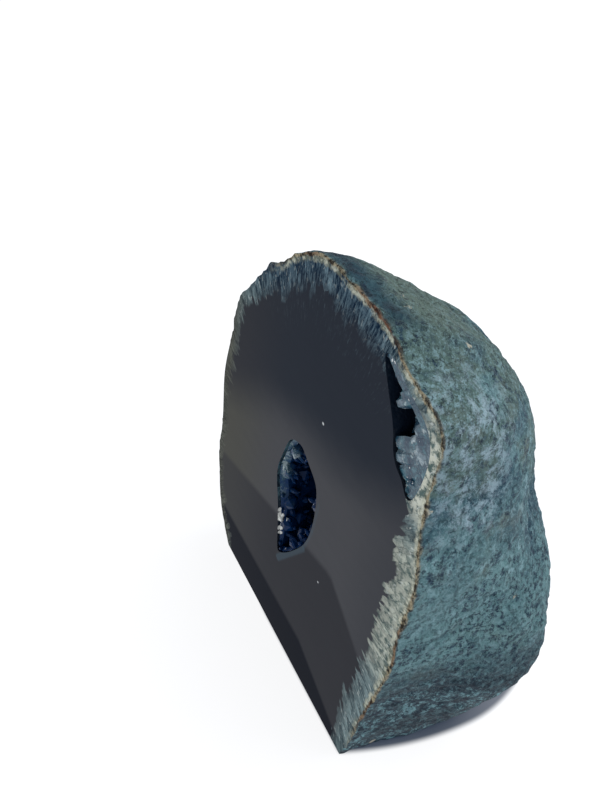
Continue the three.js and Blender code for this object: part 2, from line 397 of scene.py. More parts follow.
@dataclass(frozen=True)
class StonePlan:
    """Places on the stone that its mesh and its finishes share, in millimetres."""

    heart: Vector
    face_depth: float
    rim: tuple[tuple[float, float], ...]

    @classmethod
    def read(cls) -> "StonePlan":
        """Reads the face plane and the rim's radii from the frame.

        Returns:
            The plan of the stone as it stands in the frame.
        """
        low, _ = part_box("agate_half")
        face_depth = low.y / MM
        heart = Vector((HEART_ACROSS, face_depth, HEART_HEIGHT))
        points = [(math.atan2(z - heart.z, x - heart.x), math.hypot(x - heart.x, z - heart.z))
                  for x, z in cls._rim_points(face_depth) if z > 0.05]
        points.extend((math.radians(degrees), radius) for degrees, radius in BELOW_FOOT)
        points.sort()
        first, last = points[0], points[-1]
        wrapped = [(last[0] - math.tau, last[1]), *points, (first[0] + math.tau, first[1])]
        return cls(heart, face_depth, tuple(wrapped))

    @staticmethod
    def _rim_points(face_depth: float) -> set[tuple[float, float]]:
        """Corners of the face's outer outline, without the hollows' mouths.

        Args:
            face_depth: The face plane's place.

        Returns:
            The corners, across and up.
        """
        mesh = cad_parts["agate_half"].data
        beside: dict[tuple[float, float], set[tuple[float, float]]] = {}
        for polygon in mesh.polygons:
            flat = [(round(corner.x, 2), round(corner.z, 2)) for corner in corners_of(mesh, polygon)
                    if abs(corner.y - face_depth) < ON_PLANE]
            if len(flat) == 2:
                beside.setdefault(flat[0], set()).add(flat[1])
                beside.setdefault(flat[1], set()).add(flat[0])
        top = max(beside, key=lambda point: point[1])
        waiting, seen = [top], {top}
        while waiting:
            fresh = beside[waiting.pop()] - seen
            seen |= fresh
            waiting.extend(fresh)
        return seen

    def rim_radius(self, angle: float) -> float:
        """Radius of the natural rim in a direction from the heart.

        Args:
            angle: Direction in radians, from -pi to pi.

        Returns:
            The radius in millimetres.
        """
        for (start, low), (end, high) in zip(self.rim, self.rim[1:]):
            if start <= angle <= end:
                share = (angle - start) / max(end - start, 1e-9)
                return low + (high - low) * share
        return self.rim[0][1]

    def polar(self, place: Vector) -> tuple[float, float]:
        """Angle and radius of a place round the heart, seen from the front."""
        across, up = place.x - self.heart.x, place.z - self.heart.z
        return math.atan2(up, across), math.hypot(across, up)


def add_object(name: str, data: bpy.types.ID) -> bpy.types.Object:
    """A new object in the scene.

    Args:
        name: Its name.
        data: Its mesh, light or camera.

    Returns:
        The object.
    """
    made = bpy.data.objects.new(name, data)
    bpy.context.scene.collection.objects.link(made)
    return made


def select_only(piece: bpy.types.Object) -> None:
    """Makes one object the only selected and the active one.

    Args:
        piece: The object.
    """
    bpy.ops.object.select_all(action="DESELECT")
    piece.select_set(True)
    bpy.context.view_layer.objects.active = piece


def corners_of(mesh: bpy.types.Mesh, part: bpy.types.MeshPolygon | bpy.types.MeshEdge) -> list[Vector]:
    """Places of the corners of one facet or edge, in millimetres."""
    return [mesh.vertices[index].co / MM for index in part.vertices]


def select_parts(piece: bpy.types.Object, kind: str, test: Callable[[object], bool]) -> None:
    """Selects the corners or facets of a mesh that pass a test, and leaves it in edit mode.

    Args:
        piece: The object.
        kind: VERT or FACE.
        test: Whether one of them is selected.
    """
    select_only(piece)
    bpy.ops.object.mode_set(mode="EDIT")
    bpy.ops.mesh.select_mode(type=kind)
    bpy.ops.mesh.select_all(action="DESELECT")
    bpy.ops.object.mode_set(mode="OBJECT")
    for part in piece.data.vertices if kind == "VERT" else piece.data.polygons:
        part.select = test(part)
    bpy.ops.object.mode_set(mode="EDIT")


def apply_modifier(piece: bpy.types.Object, kind: str, **settings: object) -> None:
    """Adds a modifier and applies it.

    Args:
        piece: The object.
        kind: The modifier's type.
        settings: Its properties.
    """
    select_only(piece)
    modifier = piece.modifiers.new(kind.title(), kind)
    for name, setting in settings.items():
        setattr(modifier, name, setting)
    bpy.ops.object.modifier_apply(modifier=modifier.name)


def copy_node(node: str, name: str) -> bpy.types.Object:
    """A copy of a frame node with its loose triangles joined at their corners.

    Args:
        node: The frame node.
        name: The new piece's name.

    Returns:
        The new object at the origin.
    """
    piece = add_object(name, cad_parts[node].data.copy())
    piece.data.materials.clear()
    select_only(piece)
    bpy.ops.object.mode_set(mode="EDIT")
    bpy.ops.mesh.select_all(action="SELECT")
    bpy.ops.mesh.remove_doubles(threshold=0.002 * MM)
    bpy.ops.object.mode_set(mode="OBJECT")
    return piece


@dataclass(frozen=True)
class FaceSpot:
    """What the face's patterns read at a place: its coordinates, and its way in from the rim."""

    graph: Graph
    place: Value
    x: Value
    z: Value
    across: Value
    up: Value
    inward: Value
    arc: Value


@dataclass(frozen=True)
class BorderZones:
    """Stretches of the quartz border, each 1 along the stretch and 0 away from it."""

    lower: Value
    top: Value
    left: Value
    flank: Value
    right: Value
    beside_pocket: Value


@dataclass(frozen=True)
class FaceFinish:
    """Polished agate with its border of quartz teeth and the cream and rust line at the rind."""

    plan: StonePlan
    # Field tones with painted reflections: warm and left reflect the lit floor, low and shadow reflect the
    # stone's shadow on the floor
    field_cool: Color = (48, 53, 62)
    field_warm_reflection: Color = (82, 83, 87)
    field_left_reflection: Color = (84, 84, 79)
    field_low_reflection: Color = (57, 58, 63)
    field_shadow_reflection: Color = (24, 28, 38)
    # Deep and pale quartz: plain, at the top, at the left and at the right
    quartz_deep: tuple[Color, ...] = ((44, 62, 70), (8, 30, 50), (44, 46, 44), (66, 86, 86))
    quartz_pale: tuple[Color, ...] = ((140, 160, 162), (122, 148, 160), (108, 111, 102), (186, 194, 182))
    tooth_width: float = 1.35
    roughness: float = 0.14

    def build(self) -> bpy.types.Material:
        """Makes the material.

        Returns:
            The material of the polished face.
        """
        graph = Graph("polished_agate")
        spot = self._spot(graph)
        border, quartz = self._teeth(spot)
        color, edge = self._edge(spot, graph.mix(border, self._field(spot), quartz))
        relief = edge * graph.noise(spot.place, 0.5) - border * graph.noise(spot.place, 0.8) * 0.12
        return graph.surface({
            "Base Color": self._specks(spot, color),
            "Roughness": self.roughness + border * 0.12 + edge * 0.45,
            "Specular IOR Level": 0.002,
            "Normal": graph.bump(relief, 0.3),
        })

    def _spot(self, graph: Graph) -> FaceSpot:
        """Reads the coordinates that the patterns share.

        Args:
            graph: The material's tree.

        Returns:
            The coordinates.
        """
        place = graph.place()
        x, _, z = graph.split(place)
        across, up = x - self.plan.heart.x, z - self.plan.heart.z
        inward = self._rim(graph, up.turn(across)) - across.hypot(up)
        return FaceSpot(graph, place, x, z, across, up, inward, across.turn(up) * ARC_RADIUS)

    def _rim(self, graph: Graph, angle: Value) -> Value:
        """Radius of the rim in each direction, read from a curve.

        Args:
            graph: The material's tree.
            angle: Direction from the heart, in radians.

        Returns:
            The radius in millimetres.
        """
        points = [(a / math.tau + 0.5, (r - RIM_LEAST) / RIM_SPAN) for a, r in self.plan.rim]
        inside = [point for point in points if 0 <= point[0] <= 1]
        ends = [(0.0, self._rim_share(-math.pi)), (1.0, self._rim_share(math.pi))]
        return graph.curve(angle / math.tau + 0.5, inside + ends) * RIM_SPAN + RIM_LEAST

    def _rim_share(self, angle: float) -> float:
        """Rim radius as a share of the curve's height."""
        return (self.plan.rim_radius(angle) - RIM_LEAST) / RIM_SPAN

    def _field(self, spot: FaceSpot) -> Value:
        """The dark agate inside the border under painted reflections: cool above, warm across the middle,
        darker in steps below.

        Args:
            spot: The shared coordinates.

        Returns:
            Its colour.
        """
        graph, across, z = spot.graph, spot.across, spot.z
        cloud = (graph.noise(spot.place, 20.0, 3.0) - 0.5) * 9.0
        level = z - across * 0.5 + across.ramp(-4.0, 20.0) * 6.0 + cloud
        # Painted reflection of the lit floor: lighter and warmer across the middle
        reflected_light = (1 - level.ramp(58.0, 74.0)) * (1 - across.ramp(16.0, 32.0) * 0.3)
        leftward = 1 - across.ramp(-32.0, -4.0)
        cool = graph.mix(leftward * 0.9, srgb(*self.field_cool), srgb(*self.field_low_reflection))
        warm = graph.mix(leftward, srgb(*self.field_warm_reflection), srgb(*self.field_left_reflection))
        # Painted reflection of shade: a darker step below
        step = z - across.least(14.0) * 0.28 + (across - 16).most(0.0) * 0.7
        below = (1 - step.ramp(37.0, 39.2)) * (0.95 - leftward * 0.3)
        color = graph.mix(below, graph.mix(reflected_light, cool, warm), srgb(*self.field_low_reflection))
        # Painted reflection of the stone's shadow on the floor: a dark band along the foot
        reflected_shadow = z + (across - 8).most(0.0) * 0.45
        color = graph.mix(1 - reflected_shadow.ramp(10.4, 12.6), color, srgb(*self.field_shadow_reflection))
        # A faint veil of noise darkens the field towards the same dark tone
        veil = graph.noise(graph.vector(z, across * 0.25), 2.2, 4.0) * 0.12
        return graph.mix(veil, color, srgb(*self.field_shadow_reflection))

    def _zones(self, spot: FaceSpot) -> BorderZones:
        """Marks the stretches of the border.

        Args:
            spot: The shared coordinates.

        Returns:
            The stretches.
        """
        across, up = spot.across, spot.up
        lower = across.ramp(4.0, 20.0) * (1 - up.ramp(-34.0, -14.0))
        top = up.ramp(30.0, 44.0) * (1 - across.ramp(16.0, 28.0))
        return BorderZones(
            lower=lower,
            top=top,
            left=(1 - across.ramp(-32.0, -22.0)) * (1 - top),
            flank=across.ramp(12.0, 24.0) * (1 - up.ramp(24.0, 32.0)) * (1 - lower),
            right=across.ramp(16.0, 26.0) * up.ramp(-14.0, 0.0) * (1 - up.ramp(20.0, 30.0)),
            beside_pocket=spot.graph.near(spot.place, POCKET_BORDER, 8.0, 3.0),
        )

    def _teeth(self, spot: FaceSpot) -> tuple[Value, Value]:
        """The quartz border, one cell of a stretched pattern for each tooth.

        Args:
            spot: The shared coordinates.

        Returns:
            Where the quartz is, and its colour.
        """
        graph, zones = spot.graph, self._zones(spot)
        bent = spot.arc + (graph.noise(spot.place, 1.6, 3.0) - 0.5) * 1.1
        dented = spot.inward + (graph.noise(spot.place, 1.2, 3.0) - 0.5) * 1.6
        squeezed = graph.vector(bent, dented * TOOTH_SQUEEZE)
        tooth_arc, tooth_depth, _ = graph.split(graph.cells(squeezed, self.tooth_width, "F1", "Position"))
        lot = graph.split(graph.cells(squeezed, self.tooth_width, "F1", "Color"))[0]
        width = 3.6 + zones.flank * 3.0 + zones.lower * 4.4 + zones.top * 3.4 + zones.beside_pocket * 6.0
        swing = graph.noise(graph.vector(tooth_arc, 0.0), 5.0, 3.0) * 0.9 + 0.5
        reach = width * swing + (lot - 0.5) * 1.6
        stepped = 0.45 - zones.lower * 0.15 - zones.right * 0.25
        end = tooth_depth / TOOTH_SQUEEZE * stepped + spot.inward * (1 - stepped)
        tooth = 1 - end.ramp(reach - 0.25, reach + 0.25)
        clearing = 0.35 + zones.top * 0.5 + zones.left * 0.35 + zones.lower * 0.3
        fade = (spot.inward / reach).ramp(0.3, 1.12) * clearing
        streak = graph.noise(graph.vector(spot.arc, spot.inward * 0.14), 0.36, 5.0, 0.75)
        ghosts = (1 - spot.inward.ramp(6.0, 17.0)) * zones.top * streak.ramp(0.52, 0.7) * 0.22
        seams = 1 - graph.cells(squeezed, self.tooth_width, "DISTANCE_TO_EDGE").ramp(0.0, 0.1)
        return (tooth * (1 - fade)).most(ghosts), self._quartz(spot, zones, lot, streak, seams)

    def _quartz(self, spot: FaceSpot, zones: BorderZones, lot: Value, streak: Value, seams: Value) -> Value:
        """Colour of the quartz: streaked teeth, dyed navy at the top and full of pale rubble at the right.

        Args:
            spot: The shared coordinates.
            zones: The stretches of the border.
            lot: A number of 0 to 1 for each tooth.
            streak: Fine streaks along the teeth.
            seams: 1 between two teeth.

        Returns:
            The colour.
        """
        graph, top, right = spot.graph, zones.top, zones.right
        contrast = 3.0 + top * 1.6 - right * 1.4
        shade = (streak - 0.5) * contrast + lot * (right * 0.5 + 0.6) + 0.2 - top * 0.22 - right * 0.25
        deep, pale = self._along(graph, zones, self.quartz_deep), self._along(graph, zones, self.quartz_pale)
        color = graph.mix(shade.clamp(), deep, pale)
        color = graph.mix(seams * (0.4 - top * 0.3 + right * 0.4), color, deep)
        dyed = (1 - spot.inward.ramp(1.5, 7.0)) * top * graph.noise(spot.place, 5.0, 3.0).ramp(0.35, 0.6)
        color = graph.mix(dyed * 0.45, color, srgb(14, 42, 66))
        rubble = pebbled(graph, spot.place, (84, 104, 100), (228, 230, 214))
        color = graph.mix((right * 0.4).most(zones.beside_pocket * 0.8), color, rubble)
        glint = graph.noise(graph.vector(spot.arc, spot.inward * 0.5), 0.7, 2.0).ramp(0.6, 0.68)
        return graph.mix(glint * (1 - zones.left) * (1 - top * 0.6) * 0.7, color, srgb(206, 214, 210))

    def _along(self, graph: Graph, zones: BorderZones, colors: tuple[Color, ...]) -> Value:
        """One colour of the quartz, which changes from stretch to stretch.

        Args:
            graph: The material's tree.
            zones: The stretches of the border.
            colors: The plain colour, and those at the top, at the left and at the right.

        Returns:
            The colour along the border.
        """
        color = srgb(*colors[0])
        for zone, other in zip((zones.top, zones.left, zones.right), colors[1:]):
            color = graph.mix(zone, color, srgb(*other))
        return color

    def _edge(self, spot: FaceSpot, color: Value) -> tuple[Value, Value]:
        """The broken cream line and the rust line between quartz and rind.

        Args:
            spot: The shared coordinates.
            color: The colour under the lines.

        Returns:
            The colour with the lines, and where they are.
        """
        graph, place = spot.graph, spot.place
        wander = (graph.noise(place, 4.0, 3.0) - 0.5) * 1.6 + (graph.noise(place, 0.9, 3.0) - 0.5) * 1.3
        line, side = spot.inward + wander, rusty_side(spot.across, spot.up)
        cream = (1 - line.ramp(1.0, 1.8)) * side * graph.noise(place, 2.0, 3.0).ramp(0.38, 0.54)
        rust = (1 - line.ramp(0.3, 0.8)) * side
        beyond = (1 - line.ramp(-1.3, -0.8)) * side
        color = graph.mix(cream * 0.75, color, pebbled(graph, place, (112, 118, 104), (214, 216, 196)))
        color = graph.mix(rust, color, rust_line(graph, place))
        color = graph.mix(beyond, color, pebbled(graph, place, (30, 62, 76), (86, 118, 124)))
        return color, cream.most(rust)

    def _specks(self, spot: FaceSpot, color: Value) -> Value:
        """The two tiny white chips in the polish, and the pale line under the hollow's mouth.

        Args:
            spot: The shared coordinates.
            color: The colour under them.

        Returns:
            The colour with them.
        """
        for start, end, width, strength in MOUTH_HALO:
            halo = spot.graph.stroke(spot.x, spot.z, start, end, width) * strength
            color = spot.graph.mix(halo, color, srgb(78, 96, 108))
        for across, up, size in FACE_CHIPS:
            chip = spot.graph.near(spot.place, (across, self.plan.face_depth, up), size, size * 0.4)
            color = spot.graph.mix(chip, color, srgb(205, 210, 212))
        return color


def pebbled(graph: Graph, place: Value, dark: Color, pale: Color) -> Value:
    """Fine rubble of two colours."""
    return graph.mix(graph.noise(place, 1.2, 4.0, 0.7).ramp(0.4, 0.58), srgb(*dark), srgb(*pale))


def rusty_side(across: Value, up: Value) -> Value:
    """1 along the rim's upper right, where the rust line shows, from a place's way from the heart."""
    return (across * 0.8 + up * 0.45).ramp(4.0, 16.0)


def place_shaken(graph: Graph, place: Value) -> Value:
    """Object coordinates shaken by up to about a millimetre, for ragged edges.

    Args:
        graph: The material's tree.
        place: Object coordinates in millimetres.

    Returns:
        The shaken coordinates.
    """
    shake = graph.node("ShaderNodeTexNoise", {}, {"Vector": place, "Scale": 1.4, "Detail": 2.0}, "Color")
    centred = graph.node("ShaderNodeVectorMath", {"operation": "SUBTRACT"}, {0: shake, 1: (0.5, 0.5, 0.5)})
    wide = graph.node("ShaderNodeVectorMath", {"operation": "SCALE"}, {0: centred, "Scale": 3.0})
    return graph.node("ShaderNodeVectorMath", {"operation": "ADD"}, {0: place, 1: wide})


def rust_line(graph: Graph, place: Value) -> Value:
    """Colour of the knobbly line at the rind: tan, cream and rust-brown by turns.

    Args:
        graph: The material's tree.
        place: Object coordinates in millimetres.

    Returns:
        The colour.
    """
    knobs = graph.noise(place, 1.1, 3.0, 0.7).ramp(0.4, 0.6)
    tan = graph.mix(knobs, srgb(54, 50, 44), srgb(170, 160, 134))
    red = graph.mix(knobs, srgb(52, 40, 36), srgb(122, 88, 70))
    scattered = graph.noise(place, 9.0, 2.0).ramp(0.52, 0.64) * 0.6
    return graph.mix(scattered.most(graph.near(place, RUST_SPOT, 4.5, 2.0)), tan, red)


@dataclass(frozen=True)
class RindSpot:
    """What the rind's patterns read at a place: its coordinates, and how near it is to the foot."""

    graph: Graph
    place: Value
    fabric: Value
    x: Value
    z: Value
    behind: Value
    foot: Value
    speckled: Value


@dataclass(frozen=True)
class RindFinish:
    """Rough dyed rind: mottled teal with pale bloom, navy specks and a thin rusty lip at the rim, with
    painted light on the right flank and partly painted shade near the foot.
    """

    plan: StonePlan
    teal_deep: Color = (32, 74, 92)
    teal_pale: Color = (86, 126, 134)
    # Painted light on the right flank
    lit_flank: Color = (114, 156, 160)
    moss: Color = (84, 106, 98)
    mottle: Color = (138, 174, 186)
    vein: Color = (8, 44, 72)
    # Navy towards the foot: partly the stone's own colour, partly painted shade
    foot: Color = (6, 36, 54)
    stain: Color = (118, 112, 106)
    speck: Color = (8, 40, 66)
    grain: Color = (132, 168, 180)
    bloom: Color = (162, 188, 204)

    def build(self) -> bpy.types.Material:
        """Makes the material.

        Returns:
            The material of the rind.
        """
        graph = Graph("teal_rind")
        spot = self._spot(graph)
        mottle = graph.noise(spot.fabric, 1.7, 6.0, 0.8)
        grain = graph.noise(spot.fabric, 0.5, 3.0, 0.7)
        gathered = graph.noise(spot.place, 6.5, 3.0).ramp(0.4, 0.58)
        least = 0.56 - spot.speckled * 0.04
        specks = graph.noise(spot.fabric, 0.95, 4.0, 0.75).ramp(least, least + 0.06)
        color = self._bloom(spot, self._mottled(spot, mottle, gathered, self._dye_and_lit_flank(spot)))
        color = graph.mix(specks * (0.15 + gathered * 0.5 + spot.speckled * 0.2), color, srgb(*self.speck))
        color = self._streaks(spot, color)
        color = graph.mix(grain.ramp(0.5, 0.64) * (0.4 - spot.foot * 0.3), color, srgb(*self.grain))
        for layer in (self._shaded_side, self._chips, self._lip):
            color = layer(spot, color)
        return graph.surface({
            "Base Color": color,
            "Roughness": 0.6 + grain * 0.25,
            "Specular IOR Level": 0.25,
            "Normal": graph.bump(grain * 0.5 + mottle * 0.8 - specks * 0.4, 0.75),
        })

    def _spot(self, graph: Graph) -> RindSpot:
        """Reads the coordinates that the patterns share.

        Args:
            graph: The material's tree.

        Returns:
            The coordinates.
        """
        place = graph.place()
        x, y, z = graph.split(place)
        uneven = z + (graph.noise(place, 12.0, 3.0) - 0.5) * 16.0
        return RindSpot(
            graph, place, graph.squashed(place, RIND_FABRIC, 0.4), x, z,
            behind=y - self.plan.face_depth,
            foot=1 - uneven.ramp(24.0, 44.0),
            speckled=1 - z.ramp(44.0, 76.0),
        )

    def _dye_and_lit_flank(self, spot: RindSpot) -> Value:
        """The dye: teal clouds, and grey green in places and near the top, with painted light that makes the
        right flank paler.

        Args:
            spot: The shared coordinates.

        Returns:
            The colour.
        """
        graph, fabric = spot.graph, spot.fabric
        cloud = graph.noise(fabric, 8.0, 5.0, 0.65)
        color = graph.mix(cloud.ramp(0.36, 0.64), srgb(*self.teal_deep), srgb(*self.teal_pale))
        # Painted light: the right flank paler, away from the foot and the top
        lit_flank = spot.x.ramp(24.0, 36.0) * (1 - spot.foot) * (1 - spot.z.ramp(58.0, 80.0))
        color = graph.mix(lit_flank * 0.55, color, srgb(*self.lit_flank))
        moss = (graph.noise(fabric, 12.0, 4.0) + spot.z.ramp(64.0, 92.0) * 0.14).ramp(0.52, 0.66)
        return graph.mix(moss * (0.75 - spot.speckled * 0.4), color, srgb(*self.moss))

    def _mottled(self, spot: RindSpot, mottle: Value, gathered: Value, color: Value) -> Value:
        """Pale mottling, navy veins, a few warm stains, and the darker foot, partly the stone's own navy and
        partly painted shade.

        Args:
            spot: The shared coordinates.
            mottle: The mottling's noise.
            gathered: 1 where dark marks gather.
            color: The colour under them.

        Returns:
            The colour with them.
        """
        graph, fabric, foot = spot.graph, spot.fabric, spot.foot
        calm = spot.z.ramp(72.0, 92.0) * (1 - spot.x.ramp(18.0, 32.0))
        patchy = graph.noise(fabric, 15.0, 3.0).ramp(0.36, 0.6) * (1 - calm * 0.6)
        color = graph.mix(mottle.ramp(0.52, 0.6) * (0.25 + patchy * 0.55), color, srgb(*self.mottle))
        low = 1 - spot.z.ramp(10.0, 44.0)
        veins = 1 - mottle.ramp(0.4 + low * 0.04, 0.48 + low * 0.03)
        color = graph.mix(veins * (0.35 + gathered.most(foot) * 0.5), color, srgb(*self.vein))
        # Darker towards the foot: partly the stone's own navy, partly painted shade
        color = graph.mix(foot * 0.7, color, srgb(*self.foot))
        stains = graph.noise(fabric, 6.0, 4.0, 0.6).ramp(0.56, 0.68) * (1 - foot * 0.8)
        return graph.mix(stains * 0.15, color, srgb(*self.stain))

    def _bloom(self, spot: RindSpot, color: Value) -> Value:
        """Pale blue-grey bloom, strongest on the right side's upper half.

        Args:
            spot: The shared coordinates.
            color: The colour under it.

        Returns:
            The colour with it.
        """
        flecks = spot.graph.noise(spot.fabric, 2.8, 7.0, 0.85).ramp(0.47, 0.6)
        for middle, radius in PALE_BLOOMS:
            patch = spot.graph.near(spot.place, middle, radius, radius * 0.7)
            color = spot.graph.mix(patch * flecks * 0.8, color, srgb(*self.bloom))
        return color

    def _streaks(self, spot: RindSpot, color: Value) -> Value:
        """Pale streaks in loose clumps over the foot, which is nearly black between them, partly the stone's
        own navy and partly painted shade.

        Args:
            spot: The shared coordinates.
            color: The colour under them.

        Returns:
            The colour with them.
        """
        clumps = spot.graph.noise(spot.place, 6.0, 3.0).ramp(0.4, 0.6)
        # Nearly black between the clumps: partly painted shade
        color = spot.graph.mix((1 - clumps) * spot.foot * 0.6, color, srgb(4, 26, 44))
        streaks = spot.graph.noise(spot.fabric, 1.3, 6.0, 0.8).ramp(0.5, 0.57) * spot.foot
        return spot.graph.mix(streaks * (clumps * 0.7 + 0.3), color, srgb(114, 158, 168))

    def _shaded_side(self, spot: RindSpot, color: Value) -> Value:
        """The deep navy strip just behind the lip near the top, and the green grey behind that.

        Args:
            spot: The shared coordinates.
            color: The colour under them.

        Returns:
            The colour with them.
        """
        graph, place = spot.graph, spot.place
        edge = spot.behind + (graph.noise(place, 5.0, 4.0) - 0.5) * 5.0
        high = spot.z.ramp(88.0, 96.0) * (1 - spot.x.ramp(14.0, 22.0))
        color = graph.mix(edge.ramp(3.0, 9.0) * high * 0.45, color, srgb(98, 112, 102))
        strip = edge.ramp(0.0, 1.0) * (1 - edge.ramp(2.0, 8.0)) * high
        tint = graph.mix(graph.noise(place, 2.2, 4.0).ramp(0.4, 0.62), srgb(8, 34, 56), srgb(30, 66, 82))
        return graph.mix(strip * 0.85, color, tint)

    def _chips(self, spot: RindSpot, color: Value) -> Value:
        """A few small scattered chips of bare white and tan.

        Args:
            spot: The shared coordinates.
            color: The colour under them.

        Returns:
            The colour with them.
        """
        graph, place = spot.graph, spot.place
        rare = graph.split(graph.cells(place, 8.0, "F1", "Color"))[1].ramp(0.7, 0.72)
        ragged = graph.cells(place, 8.0) + (graph.noise(place, 0.7, 3.0) - 0.5) * 0.16
        color = graph.mix((1 - ragged.ramp(0.07, 0.1)) * rare * 0.85, color, srgb(200, 196, 180))
        torn = place_shaken(graph, place)
        for middle, radius in RIND_CHIPS:
            color = graph.mix(graph.near(torn, middle, radius, 0.25) * 0.8, color, srgb(196, 192, 176))
        return color

    def _lip(self, spot: RindSpot, color: Value) -> Value:
        """The rust rubble of the rind's lip.

        Args:
            spot: The shared coordinates.
            color: The colour under it.

        Returns:
            The colour with it.
        """
        wander = (spot.graph.noise(spot.place, 2.2, 4.0) - 0.5) * 1.8
        side = rusty_side(spot.x - self.plan.heart.x, spot.z - self.plan.heart.z)
        lip = (1 - (spot.behind + wander).ramp(0.0, 0.5)) * side
        return spot.graph.mix(lip * 0.9, color, rust_line(spot.graph, spot.place))


@dataclass(frozen=True)
class FootFinish:
    """Sawn and unpolished agate under the stone."""

    dark: Color = (52, 60, 66)
    pale: Color = (84, 94, 98)
    roughness: float = 0.55
    grain_size: float = 0.4

    def build(self) -> bpy.types.Material:
        """Makes the material.

        Returns:
            The material of the foot.
        """
        graph = Graph("sawn_foot")
        place = graph.place()
        cloud = graph.noise(place, self.grain_size * 9, 4.0)
        grain = graph.noise(place, self.grain_size, 3.0, 0.65)
        color = graph.mix(cloud.ramp(0.3, 0.7), srgb(*self.dark), srgb(*self.pale))
        color = graph.mix(grain.ramp(0.3, 0.75) * 0.3, color, srgb(*(value * 0.55 for value in self.dark)))
        return graph.surface({
            "Base Color": color,
            "Roughness": self.roughness + grain * 0.2,
            "Specular IOR Level": 0.35,
            "Normal": graph.bump(grain, 0.2),
        })


def mouth_glints(graph: Graph, place: Value, face_depth: float, color: Value) -> Value:
    """Adds the white glints on the left edge of the hollow's mouth.

    Args:
        graph: The material's tree.
        place: Object coordinates in millimetres.
        face_depth: The face plane's place.
        color: The colour under the glints.

    Returns:
        The colour with the glints.
    """
    for across, up, size in MOUTH_GLINTS:
        glint = graph.near(place, (across, face_depth + GLINT_DEPTH, up), size, 0.15)
        color = graph.mix(glint, color, srgb(238, 240, 236))
    return color


@dataclass(frozen=True)
class WallFinish:
    """Agate of the hollows' walls, dark in its own colour and painted shade, with a quartz skin round the
    hollow's own mouth painted pale as lit.
    """

    face_depth: float
    skin_reach: float = 12.0

    def build(self) -> bpy.types.Material:
        """Makes the material.

        Returns:
            The material of the hollows' walls.
        """
        graph = Graph("agate_wall")
        place = graph.place()
        x, y, z = graph.split(place)
        grain = graph.noise(place, 0.8, 3.0, 0.65)
        # Dark navy walls: the agate's own dark colour and painted shade
        color = graph.mix(graph.noise(place, 7.0, 4.0).ramp(0.3, 0.7), srgb(8, 14, 26), srgb(18, 30, 46))
        # Painted light: the quartz skin is pale only near the face, inside the hollow and above its lower
        # edge
        depth = y - self.face_depth + (graph.noise(place, 1.5, 3.0) - 0.5) * 1.6
        inside = 1 - x.ramp(self.skin_reach - 2, self.skin_reach)
        skin = (1 - depth.ramp(0.5, 2.0)) * inside * z.ramp(37.0, 44.0)
        patchy = graph.noise(place, 2.6, 4.0, 0.65).ramp(0.42, 0.56)
        pale = graph.mix(grain.ramp(0.4, 0.6), srgb(46, 76, 90), srgb(88, 118, 128))
        color = graph.mix(skin, color, graph.mix(patchy, srgb(14, 34, 48), pale))
        return graph.surface({
            "Base Color": mouth_glints(graph, place, self.face_depth, color),
            "Roughness": 0.25 + grain * 0.2,
            "Specular IOR Level": 0.3,
            "Normal": graph.bump(grain, 0.2),
        })


@dataclass(frozen=True)
class CrystalFinish:
    """Glassy dyed quartz, painted pale as lit near the mouth and darkening with depth behind the face as
    painted shade.
    """

    name: str
    face_depth: float
    # Painted light and shade: the pale colour where it is lit, the deep one where shade falls
    pale: Color
    deep: Color
    # Depth behind the face over which painted shade darkens it, and the height and way across over which it
    # is painted pale as lit
    fade: tuple[float, float]
    lit_above: tuple[float, float]
    lit_until: tuple[float, float]
    gloss: float
    block: float = 1.4
    mottle: float = 0.8
    fleck: float = 0.7

    def build(self) -> bpy.types.Material:
        """Makes the material.

        Returns:
            The material of one crust.
        """
        graph = Graph(self.name)
        place = graph.place()
        vein = graph.noise(place, 1.1, 4.0, 0.65, 0.6)
        return graph.surface({
            "Base Color": mouth_glints(graph, place, self.face_depth, self._color(graph, place)),
            "Roughness": 0.18 + vein * 0.2,
            "Specular IOR Level": self.gloss,
            "Normal": graph.bump(graph.noise(place, 0.6, 2.0), 0.05),
        })

    def _color(self, graph: Graph, place: Value) -> Value:
        """Pale and deep blocks with dark seams, painted shadow in cloudy patches, painted white highlights
        and white flecks near the mouth.

        Args:
            graph: The material's tree.
            place: Object coordinates in millimetres.

        Returns:
            The colour.
        """
        x, y, z = graph.split(place)
        depth = y - self.face_depth + (graph.noise(place, 2.5, 2.0) - 0.5) * 2.0
        # Painted light: pale near the face, above a height and left of a place; painted shade deeper in
        lit = (1 - depth.ramp(*self.fade)) * z.ramp(*self.lit_above) * (1 - x.ramp(*self.lit_until))
        color = graph.mix(lit, srgb(*self.deep), srgb(*self.pale))
        shaken = place_shaken(graph, place)
        facet, block, _ = graph.split(graph.cells(shaken, self.block, "F1", "Color"))
        seams = 1 - graph.cells(shaken, self.block, "DISTANCE_TO_EDGE").ramp(0.02, 0.16)
        # Grey-lavender blocks, only where painted lit
        color = graph.mix(block.ramp(0.74, 0.8) * lit * 0.6, color, srgb(136, 152, 164))
        color = graph.mix(seams * 0.6, color, srgb(*self.deep))
        cloud = graph.noise(place, 1.8, 5.0, 0.7)
        shadow = (cloud.ramp(0.44, 0.6) * 0.7 + facet.ramp(0.4, 0.9) * 0.4).clamp()
        color = graph.mix(shadow * self.mottle, color, srgb(*(value * 1.3 for value in self.deep)))
        # Painted white highlights, only where painted lit
        color = graph.mix((1 - cloud.ramp(0.34, 0.44)) * lit * 0.6, color, srgb(206, 220, 222))
        flecks = graph.noise(place, 0.9, 2.0).ramp(self.fleck, self.fleck + 0.03)
        return graph.mix(flecks * (1 - depth.ramp(1.0, 2.6)), color, srgb(225, 230, 230))


